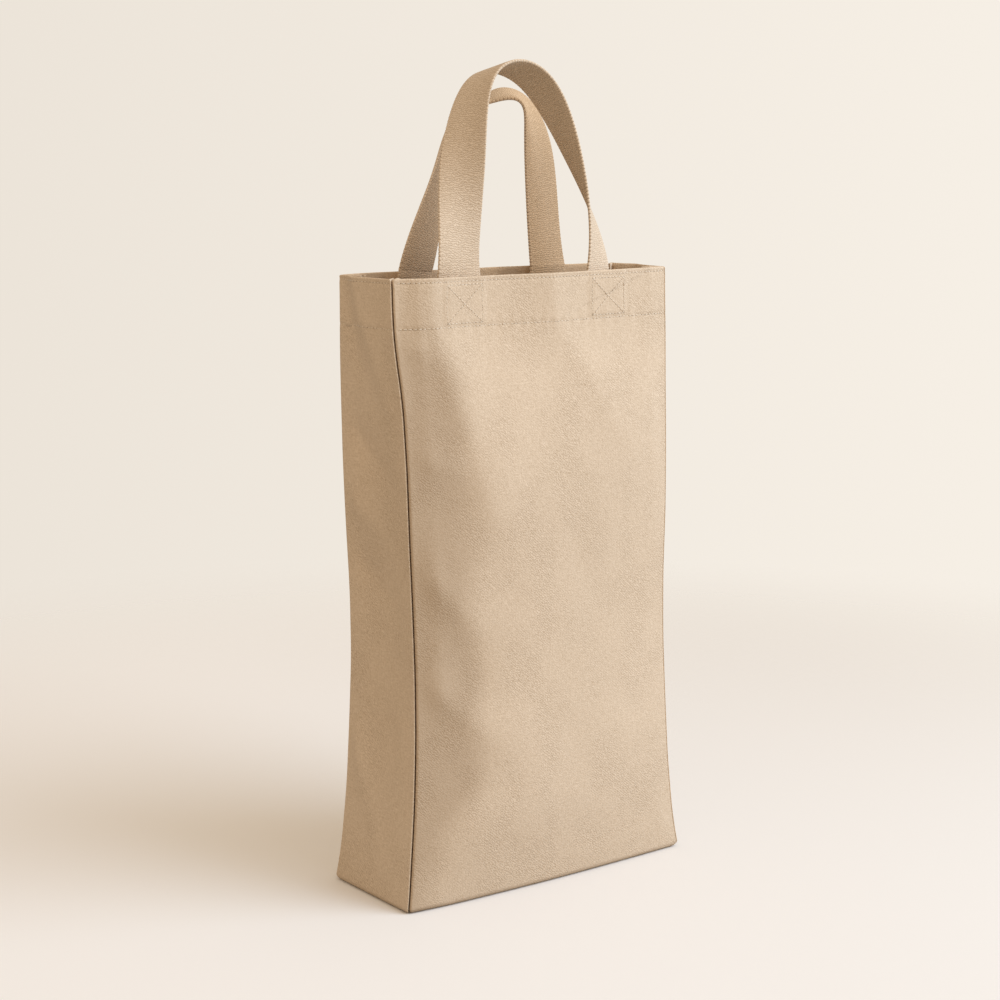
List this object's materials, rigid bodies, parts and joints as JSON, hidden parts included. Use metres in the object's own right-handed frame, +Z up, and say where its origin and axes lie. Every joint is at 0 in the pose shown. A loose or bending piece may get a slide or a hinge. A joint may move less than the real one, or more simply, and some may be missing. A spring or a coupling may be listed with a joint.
{
  "type": "shopper bag",
  "caption": "Tall canvas shopper with side gussets, a folded stitched hem and short twisted webbing handles that swing.",
  "frame": {"origin": "middle of the base, on the surface that the bag stands on", "axes": "+Z up through the mouth, front panel faces -Y, side gussets face -X and +X"},
  "size_m": [0.206, 0.088, 0.4937],
  "materials": {
    "canvas": "matte beige cotton twill canvas",
    "webbing": "matte beige woven cotton webbing",
    "thread": "pale cotton sewing thread"
  },
  "bodies": {
    "bag": {"front_panel": "canvas", "back_panel": "canvas", "left_gusset": "canvas", "right_gusset": "canvas", "base_panel": "canvas", "front_handle_left_tab": "webbing", "front_handle_right_tab": "webbing", "back_handle_left_tab": "webbing", "back_handle_right_tab": "webbing", "hem_top_stitch": "thread", "hem_lower_stitch": "thread", "base_seam_stitch": "thread", "front_left_seam_stitch": "thread", "back_left_seam_stitch": "thread", "front_right_seam_stitch": "thread", "back_right_seam_stitch": "thread", "front_left_box_stitch": "thread", "front_right_box_stitch": "thread", "back_left_box_stitch": "thread", "back_right_box_stitch": "thread"},
    "front_handle": {"front_handle_loop": "webbing"},
    "back_handle": {"back_handle_loop": "webbing"}
  },
  "joints": [
    {"name": "front_handle_swing", "type": "hinge", "parent": "bag", "child": "front_handle", "pos_m": [0, -0.0285, 0.37], "axis": [1, 0, 0], "range_deg": [-1, 155]},
    {"name": "back_handle_swing", "type": "hinge", "parent": "bag", "child": "back_handle", "pos_m": [0, 0.0285, 0.37], "axis": [-1, 0, 0], "range_deg": [-1, 155]}
  ]
}
